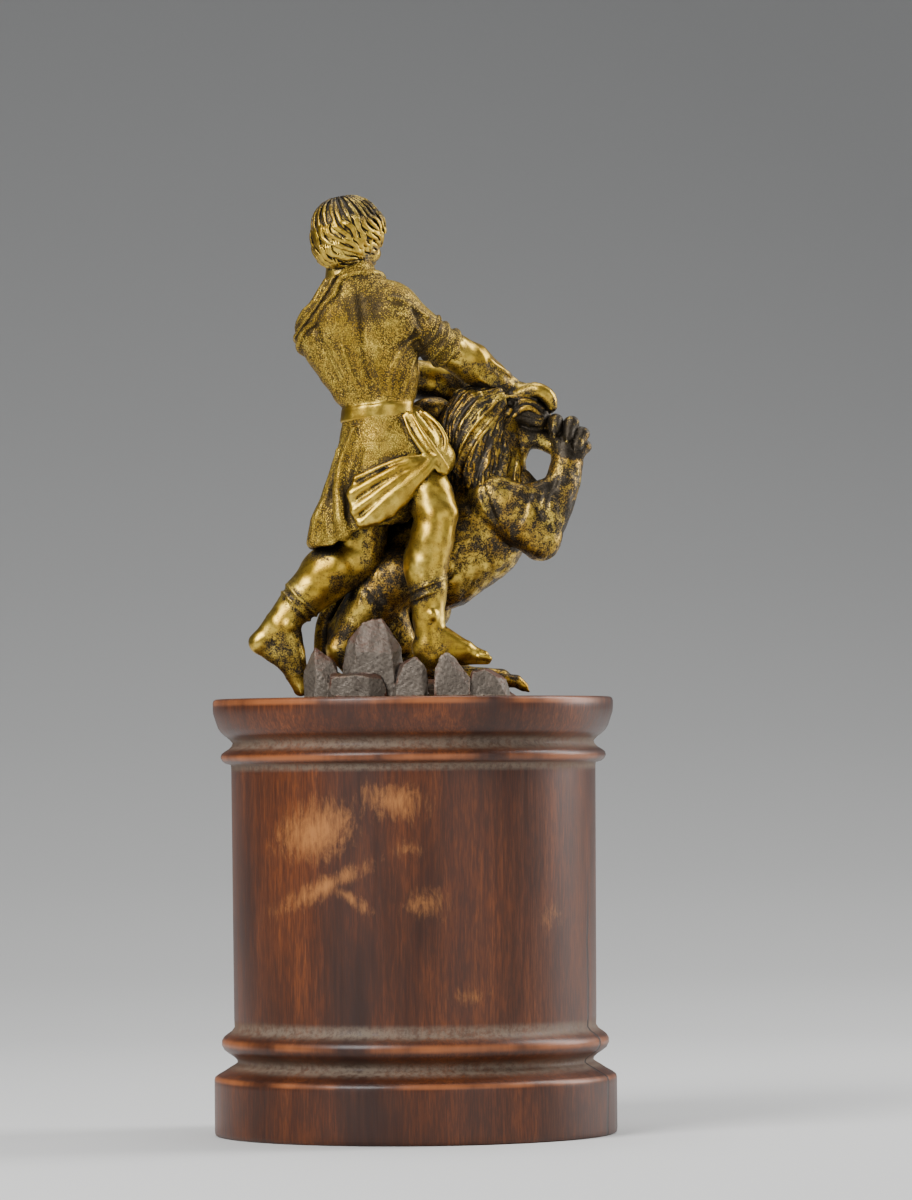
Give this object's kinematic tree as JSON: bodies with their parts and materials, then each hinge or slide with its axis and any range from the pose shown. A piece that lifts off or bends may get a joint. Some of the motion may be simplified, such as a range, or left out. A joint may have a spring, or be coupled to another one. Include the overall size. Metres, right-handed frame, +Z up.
{
  "type": "figure group on turned stand",
  "caption": "Small gilt bronze group of a man in a belted tunic wrestling a rearing lion on broken rock, on a turned wooden drum stand.",
  "frame": {"origin": "centre of the stand's underside, on the stand's turning axis", "axes": "+Z up along the stand's turning axis; -Y is the side the man's back faces; +X is the side the lion's head is on"},
  "size_m": [0.1004, 0.1004, 0.2346],
  "materials": {
    "gilt_bronze": "worn fire gilding over dark brown bronze, matted with punch dots on the tunic and burnished on the belt",
    "rock_bronze": "matte brown-grey cast rock with red-brown edges, not gilt",
    "stand_wood": "red-brown stained and polished wood, worn pale in patches"
  },
  "bodies": {
    "root": {"man_and_lion": "gilt_bronze", "rock_ground": "rock_bronze", "turned_stand": "stand_wood"}
  },
  "joints": []
}
